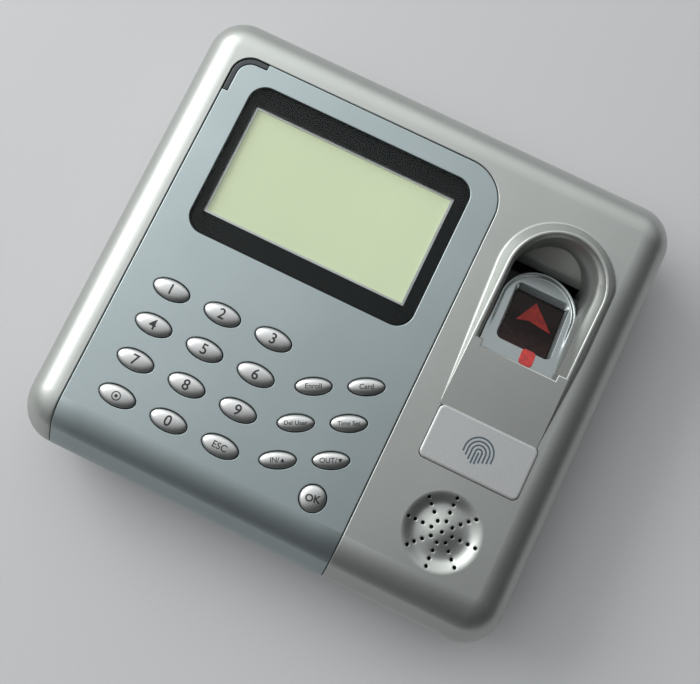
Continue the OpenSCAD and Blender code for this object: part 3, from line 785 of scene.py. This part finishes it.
def case_shell():
    """The front cover's outer skin with the scanner hood, the badge's recess and the speaker's dish."""
    bm = bmesh.new()
    rows = []
    for d in DEPTHS:
        ends = [seam_end(PANEL_R + SEAM, 1, d), seam_end(PANEL_L - SEAM, -1, d)]
        rows.append(ring(bm, ends[0][::-1] + cover_ring(d) + ends[1]))
    for inward, rise in ((0.25, 0), (WALL, 0), (WALL, LIP)):
        flat = offset([(v.co.x, v.co.y) for v in rows[len(DEPTHS) - 1]], -inward, False)
        rows.append(ring(bm, [(x, y, COVER_LOW + rise) for x, y in flat]))
    bridge_all(bm, rows, closed=False)
    y0 = rows[0][6].co.y
    seam_rings = rim(bm, panel_path(SEAM, y0), FACE, -1, EDGE_SOFT, SEAM_DEPTH, closed=False)
    outline = rows[0][6:-6] + seam_rings[0]
    crest, foot = hood_skirt(bm)
    lo, hi = low("badge_plate"), high("badge_plate")
    recess = rounded((lo.x - BADGE_GAP, lo.y - BADGE_GAP), (hi.x + BADGE_GAP, hi.y + BADGE_GAP), 2.1)
    badge = rim(bm, recess, FACE, 1, 0.2, 0.7)
    dish = speaker_dish(bm, middle("speaker").to_2d())
    fill(bm, [outline, foot, badge[0], dish])
    pit = hood_pit(bm)
    fill(bm, [crest, pit])
    return finish_piece("case_shell", bm, MATERIALS["case_paint"], "terminal", ["front_cover"])


def light_path(grow):
    """The status strip's outline along the panel's top left corner, anticlockwise, shrunk by grow."""
    out, inn = grow, LIGHT_W - grow
    start, end = LIGHT_Y + grow, LIGHT_X - grow
    corner = (PANEL_L + PANEL_R1, PANEL_T - PANEL_R1)
    outer = arc(corner, PANEL_R1 - out, 180, -90, 16)
    inner = arc(corner, PANEL_R1 - inn, 90, 90, 16)
    path = [(PANEL_L + out, start)] + outer + [(end, PANEL_T - out), (end, PANEL_T - inn)] + inner
    return (path + [(PANEL_L + inn, start)])[::-1]


def keypad_shell():
    """The keypad panel's skin: flat face, bottom toe, and openings for the window, the strip and the keys."""
    bm = bmesh.new()
    rows = []
    for d in DEPTHS:
        y, z = toe_point(d)
        steps = [PANEL_L + EDGE_SOFT + (PANEL_R - PANEL_L - 2 * EDGE_SOFT) * i / 12 for i in range(13)]
        middle_part = [(x, y, z) for x in steps]
        ends = [seam_end(PANEL_L, 1, d), seam_end(PANEL_R, -1, d)]
        rows.append(ring(bm, ends[0][::-1] + middle_part + ends[1]))
    for rise in (0, LIP):
        y, _ = toe_point(FACE - COVER_LOW, WALL)
        rows.append(ring(bm, [(v.co.x, y, COVER_LOW + rise) for v in rows[len(DEPTHS) - 1]]))
    bridge_all(bm, rows, closed=False)
    y0 = rows[0][6].co.y
    corner = (PANEL_L + PANEL_R1, PANEL_T - PANEL_R1)
    path = ([(PANEL_L, y0), (PANEL_L, LIGHT_Y), (PANEL_L + LIGHT_W, LIGHT_Y)]
            + arc(corner, PANEL_R1 - LIGHT_W, 180, -90, 12)
            + [(LIGHT_X, PANEL_T - LIGHT_W), (LIGHT_X, PANEL_T)]
            + arc((PANEL_R - PANEL_R2, PANEL_T - PANEL_R2), PANEL_R2, 90, -90, 24) + [(PANEL_R, y0)])
    edge = rim(bm, without_repeats(path), FACE, 1, EDGE_SOFT, SEAM_DEPTH, closed=False)
    outline = rows[0][6:-6] + edge[0][::-1]
    lo, hi = low("display_window"), high("display_window")
    opening = rounded((lo.x - WINDOW_GAP, lo.y - WINDOW_GAP), (hi.x + WINDOW_GAP, hi.y + WINDOW_GAP),
                      WINDOW_R + WINDOW_GAP, 14)
    loops = [outline, rim(bm, opening, FACE, 1, 0.3, 1.7)[0]]
    for name, size, turn in all_keys():
        at = middle(name)
        hole = oval(at, size[0] / 2 + KEY_GAP, size[1] / 2 + KEY_GAP, turn)
        loops.append(rim(bm, hole, FACE, 1, 0.28, WALL)[0])
    fill(bm, loops)
    return finish_piece("keypad_shell", bm, MATERIALS["panel_paint"], "terminal",
                        ["keypad_panel"])


def status_strip():
    """The smoked strip in the panel's top left corner, a little below the face."""
    bm = bmesh.new()
    rings = rim(bm, light_path(LIGHT_GAP), FACE - 0.12, -1, 0.3, 1.9)
    fill(bm, [rings[0]])
    return finish_piece("status_strip", bm, MATERIALS["smoked_lens"], "terminal",
                        ["status_light"])


def window_pane():
    """The display's clear window, a slab with a rounded top edge."""
    bm = bmesh.new()
    lo, hi = low("display_window"), high("display_window")
    path = rounded(lo, hi, WINDOW_R, 14)
    rings = rim(bm, path, hi.z, -1, 0.3, hi.z - lo.z)
    fill(bm, [rings[0]])
    fill(bm, [rings[-1]])
    return finish_piece("window_pane", bm, MATERIALS["window_acrylic"], "terminal",
                        ["display_window"])


def badge_plate():
    """The maker's plate, a rounded rectangle with a softly rounded edge. badge_sign is laid on it."""
    bm = bmesh.new()
    lo, hi = low("badge_plate"), high("badge_plate")
    top = hi.z
    path = rounded(lo, hi, BADGE_R)
    rings = [ring(bm, at_height(path, lo.z)), ring(bm, at_height(path, top - BADGE_EDGE))]
    for k in range(1, 9):
        t = math.pi / 2 * k / 8
        inset = 0.9 * (1 - math.cos(t))
        rings.append(ring(bm, at_height(offset(path, -inset), top - BADGE_EDGE + BADGE_EDGE * math.sin(t))))
    bridge_all(bm, rings)
    fill(bm, [rings[-1]])
    return finish_piece("badge", bm, MATERIALS["badge_metal"], "terminal", ["badge_plate"])


def ribbon(bm, path, width, z):
    """A flat stroke of that width along an open path."""
    a = ring(bm, at_height(offset(path, width / 2, False), z))
    b = ring(bm, at_height(offset(path, -width / 2, False), z))
    bridge(bm, a, b, closed=False)


def badge_sign():
    """A plain fingerprint sign: nested arches, as on a stock icon."""
    bm = bmesh.new()
    at, z = middle("badge_plate"), high("badge_plate").z + 0.02
    for k in range(4):
        r = 1.1 + 1.25 * k
        leg = [(at.x + r, at.y - 3.4 + 0.5 * k), (at.x + r, at.y - 1.0)]
        other_leg = [(at.x - r, at.y - 1.0), (at.x - r, at.y - 4.4 + 0.9 * k)]
        path = leg + arc((at.x, at.y - 0.2), r, 0, 180, 24) + other_leg
        ribbon(bm, path, SIGN_STROKE, z)
    ribbon(bm, [(at.x, at.y - 4.2), (at.x, at.y - 0.2)], SIGN_STROKE, z)
    return finish_piece("badge_sign", bm, PRINT_SLATE, "terminal")


# ---- Keys ----

def all_keys():
    keys = [(name, NUMBER_SIZE, 0.0) for name in KEY_LABELS]
    keys += [(name, FUNCTION_SIZE, FN_TURN) for name in FUNCTION_LABELS]
    return keys + [("key_ok", OK_SIZE, 0.0)]


def dome(share):
    """Height of a key's dome above the face, at that share of the way from its middle to its edge."""
    return KEY_LOW + (KEY_HIGH - KEY_LOW) * (1 - min(1, share) ** 2.3) ** 0.62


def key_cap(name, size, turn):
    """A domed oval cap on the flange that keeps it behind the panel."""
    bm = bmesh.new()
    at, a, b = middle(name), size[0] / 2, size[1] / 2
    bottom = low(name).z

    def level(share, z, grow=0.0):
        return ring(bm, at_height(oval(at, (a + grow) * share, (b + grow) * share, turn), z))

    rings = [level(1, bottom), level(1, bottom, KEY_FLANGE), level(1, bottom + 0.8, KEY_FLANGE),
             level(1, bottom + 0.8), level(1, FACE + KEY_LOW - 0.1)]
    shares = [math.cos(math.radians(6 * k)) for k in range(15)]
    rings += [level(s, FACE + dome(s)) for s in shares]
    bridge_all(bm, rings)
    tip = bm.verts.new((at.x, at.y, FACE + dome(0)))
    last = rings[-1]
    for i, v in enumerate(last):
        bm.faces.new((v, last[(i + 1) % len(last)], tip)).smooth = True
    return finish_piece(name + "_cap", bm, MATERIALS["key_silver"], name, [name])


def text_mesh(words, height, name, weight=0.012):
    """Flat mesh of some words in Blender's own font, centred, in millimetres."""
    curve = bpy.data.curves.new(name, "FONT")
    curve.body = words
    curve.size = height
    curve.offset = weight * height
    curve.align_x = "CENTER"
    curve.align_y = "CENTER"
    curve.resolution_u = 6
    maker = bpy.data.objects.new(name, curve)
    bpy.context.scene.collection.objects.link(maker)
    bpy.context.view_layer.update()
    mesh = bpy.data.meshes.new_from_object(maker.evaluated_get(bpy.context.evaluated_depsgraph_get()))
    bpy.data.objects.remove(maker)
    bm = bmesh.new()
    bm.from_mesh(mesh)
    bpy.data.meshes.remove(mesh)
    bpy.data.curves.remove(curve)
    return bm


def triangle(bm, x, up):
    s = 0.62 * up
    bm.faces.new([bm.verts.new((x + dx, dy * s, 0)) for dx, dy in ((-0.7, -1), (0.7, -1), (0, 1))])


def bell_sign():
    """A ring with a dot, for the bell key."""
    bm = bmesh.new()
    for outer, inner in ((1.55, 1.2), (0.55, 0.05)):
        bridge(bm, ring(bm, at_height(oval((0, 0), outer, outer, n=32), 0)),
               ring(bm, at_height(oval((0, 0), inner, inner, n=32), 0)))
    return bm


def key_label(name, bm, size, turn, shift=(0.0, 0.0)):
    """Lays a flat label on the key's dome, cut fine enough to follow it."""
    at = middle(name)
    for _ in range(5):
        bmesh.ops.triangulate(bm, faces=bm.faces)
        long_edges = [e for e in bm.edges if e.calc_length() > LABEL_EDGE]
        bmesh.ops.subdivide_edges(bm, edges=long_edges, cuts=1)
    spin = Matrix.Rotation(turn, 3, "Z")
    for v in bm.verts:
        x, y = v.co.x + shift[0], v.co.y + shift[1]
        share = math.hypot(2 * x / size[0], 2 * y / size[1])
        p = spin @ Vector((x, y, 0))
        v.co = (at.x + p.x, at.y + p.y, FACE + dome(share) + LABEL_RISE)
    return finish_piece(name + "_label", bm, PRINT_BLACK, name, merge=1e-6)


def keys():
    for name, size, turn in all_keys():
        key_cap(name, size, turn)
    for name, words in KEY_LABELS.items():
        if words:
            height = DIGIT_HEIGHT if len(words) == 1 else ESCAPE_HEIGHT
            key_label(name, text_mesh(words, height, "label"), NUMBER_SIZE, 0.0)
        else:
            key_label(name, bell_sign(), NUMBER_SIZE, 0.0)
    for name, words in FUNCTION_LABELS.items():
        height = WORD_HEIGHT if len(words) < 8 else LONG_WORD_HEIGHT
        bm = text_mesh(words, height, "label")
        shift = 0.0
        if words.endswith("/"):
            reach = max(v.co.x for v in bm.verts)
            triangle(bm, reach + 1.0, 1 if name == "key_in_up" else -1)
            shift = -0.9
        key_label(name, bm, FUNCTION_SIZE, FN_TURN, (shift, 0.0))
    key_label("key_ok", text_mesh("OK", OK_HEIGHT, "label", 0.03), OK_SIZE, FN_TURN / 2)


# ---- Fingerprint sensor ----

PLATE = Matrix.Translation(PLATE_AT) @ Matrix.Rotation(PLATE_TILT, 4, "X")


# (inset from the edge, rise) across the bezel's raised rim
BEZEL_SECTION = ((0.05, 0.25), (0.2, 0.7), (0.45, 1.02), (0.75, 1.1), (1.05, 1.02), (1.3, 0.7), (1.5, 0.25),
                 (1.75, 0.03), (2.0, 0.0))
# (growth of the glass's outline, growth at its top end, corner radius, height) down the funnel
FUNNEL_SECTION = ((1.2, 2.3, 2.4, 0.0), (1.0, 2.1, 2.2, -0.1), (0.25, 0.5, 0.8, -GLASS_LOW + 0.15),
                  (0.1, 0.3, 0.5, -GLASS_LOW), (0.1, 0.3, 0.5, -GLASS_LOW - 0.8))


def sensor_bezel():
    """The plate round the sensor's glass: a raised rim along its arch, and a funnel down to the glass."""
    bm = bmesh.new()
    straight = [BEZEL_LOW + (BEZEL_MID - BEZEL_LOW) * i / 14 for i in range(14)]
    path = ([(BEZEL_X + BEZEL_R, y) for y in straight] + arc((BEZEL_X, BEZEL_MID), BEZEL_R, 0, 180, 44)
            + [(BEZEL_X - BEZEL_R, y) for y in reversed(straight)])

    def rim_share(y):
        """How much of the rim's rise is there: none at the finger's end, all of it round the arch."""
        t = min(1, max(0, (y - 7) / 14))
        return t * t * (3 - 2 * t)

    rings = [ring(bm, at_height(path, -BEZEL_THICK)), ring(bm, at_height(path, -0.15))]
    for inset, rise in BEZEL_SECTION:
        moved = offset(path, -inset, False)
        points = [(x, y, rise * rim_share(q[1])) for (x, y), q in zip(moved, path)]
        rings.append(ring(bm, points))
    bridge_all(bm, rings, closed=False)
    half = GLASS_W / 2
    funnel = []
    for grow, top_grow, corner, z in FUNNEL_SECTION:
        lo = (-half - grow, GLASS_Y - grow * 0.7)
        hi = (half + grow, GLASS_Y + GLASS_L + top_grow)
        funnel.append(ring(bm, at_height(rounded(lo, hi, corner, 6), z)))
    bridge_all(bm, funnel)
    front_half = BEZEL_R - 2.4
    front = [ring(bm, [(side * front_half, BEZEL_LOW, z) for side in (1, -1)]) for z in (0, -BEZEL_THICK)]
    bridge(bm, front[0], front[1], closed=False)
    fill(bm, [rings[-1], funnel[0]])
    return finish_piece("scanner_bezel", bm, MATERIALS["bezel_paint"], "terminal",
                        ["sensor_bezel"], PLATE)


def sensor_glow():
    """What shows lit inside the prism, and the red lamp window at the plate's lower edge."""
    bm = bmesh.new()
    z = -GLASS_LOW - 0.9
    facet = ((-5.2, 16.0), (-1.0, 17.3), (7.4, 16.2), (3.4, 20.4), (-0.8, 24.6))
    bm.faces.new(ring(bm, at_height(facet, z)))
    finish_piece("prism_glow", bm, RED_DIM, "terminal", (), PLATE)
    bm = bmesh.new()
    far = GLASS_Y + GLASS_L
    view = ((-PRISM_HALF, GLASS_Y), (PRISM_HALF, GLASS_Y), (PRISM_HALF, far), (-PRISM_HALF, far))
    bm.faces.new(ring(bm, at_height(view, z - 0.15)))
    finish_piece("prism_view", bm, PRISM_PAINTED_LIGHT, "terminal", (), PLATE)
    bm = bmesh.new()
    rings = rim(bm, rounded((0.2, 0.35), (5.0, 6.1), 1.2, 4), 0.14, -1, 0.12, 0.3)
    fill(bm, [rings[0]])
    return finish_piece("lamp_window", bm, RED_GLOW, "terminal", (), PLATE)


# ---- Scene ----

def soften(name, width_mm, segments=2):
    """Rounds the sharp edges of a carried-over CAD node."""
    bevel = frame["nodes"][name].modifiers.new("soft_edges", "BEVEL")
    bevel.width = width_mm * MM
    bevel.segments = segments
    bevel.limit_method = "ANGLE"
    bevel.angle_limit = math.radians(50)
    bevel.harden_normals = False


def paint_nodes():
    slots = {s["node"]: s["material_slot"] for s in frame["record"]["subparts"]}
    for name, node in frame["nodes"].items():
        node.data.materials.clear()
        node.data.materials.append(MATERIALS[slots[name]])


def camera():
    data = bpy.data.cameras.new("camera")
    data.sensor_width = 36
    data.lens = CAMERA_LENS
    cam = bpy.data.objects.new("camera", data)
    right = Vector(CAMERA_RIGHT).normalized()
    back = Vector(CAMERA_BACK).normalized()
    up = back.cross(right).normalized()
    turn = Matrix((right, up, back)).transposed().to_4x4()
    cam.matrix_world = Matrix.Translation(Vector(CAMERA_AT) * MM) @ turn
    bpy.context.scene.collection.objects.link(cam)
    bpy.context.scene.camera = cam


def softbox(name, at, target, size, power):
    data = bpy.data.lights.new(name, "AREA")
    data.shape = "RECTANGLE"
    data.size, data.size_y = size
    data.energy = power
    lamp = bpy.data.objects.new(name, data)
    lamp.location = at
    lamp.rotation_mode = "QUATERNION"
    lamp.rotation_quaternion = (Vector(target) - Vector(at)).to_track_quat("-Z", "Y")
    bpy.context.scene.collection.objects.link(lamp)


def studio():
    """A pale floor, a room that is brighter at the upper left, and one large window-like light there."""
    floor_z = CAD_BOX[0].z
    bm = bmesh.new()
    corners = [(FLOOR_HALF * x, FLOOR_HALF * y) for x, y in ((-1, -1), (1, -1), (1, 1), (-1, 1))]
    bm.faces.new(ring(bm, at_height(corners, floor_z)))
    mesh = bpy.data.meshes.new("floor")
    bm.to_mesh(mesh)
    bm.free()
    floor = bpy.data.objects.new("floor", mesh)
    bpy.context.scene.collection.objects.link(floor)
    mesh.materials.append(paper("pale_floor", (0.57, 0.57, 0.57)))

    world = bpy.data.worlds.new("soft_room")
    bpy.context.scene.world = world
    world.use_nodes = True
    nodes, links = world.node_tree.nodes, world.node_tree.links
    nodes["Background"].inputs["Color"].default_value = (0.95, 0.98, 1.0, 1)
    direction = nodes.new("ShaderNodeTexCoord").outputs["Generated"]
    toward = nodes.new("ShaderNodeVectorMath")
    toward.operation = "DOT_PRODUCT"
    toward.inputs[1].default_value = (-0.8, 0.6, 0)
    links.new(direction, toward.inputs[0])
    split = nodes.new("ShaderNodeSeparateXYZ")
    links.new(direction, split.inputs[0])
    across, rise = nodes.new("ShaderNodeMapRange"), nodes.new("ShaderNodeMapRange")
    for node, values in ((across, (-0.38, 1, 0.04, 1.9)), (rise, (0.05, 0.55, 0.16, 1.12))):
        for socket, value in zip(("From Min", "From Max", "To Min", "To Max"), values):
            node.inputs[socket].default_value = value
    links.new(toward.outputs["Value"], across.inputs["Value"])
    links.new(split.outputs["Z"], rise.inputs["Value"])
    product = nodes.new("ShaderNodeMath")
    product.operation = "MULTIPLY"
    links.new(across.outputs["Result"], product.inputs[0])
    links.new(rise.outputs["Result"], product.inputs[1])
    links.new(product.outputs[0], nodes["Background"].inputs["Strength"])
    softbox("window_left", (-0.82, 0.2, 0.56), (0, 0, 0.02), (0.9, 0.4), 6)
    bpy.context.scene.view_settings.view_transform = "Standard"


camera()
paint_nodes()
case_shell()
keypad_shell()
status_strip()
window_pane()
badge_plate()
badge_sign()
keys()
sensor_bezel()
sensor_glow()
for node_name in ("rear_cover", "wall_plate"):
    soften(node_name, 0.35)
studio()
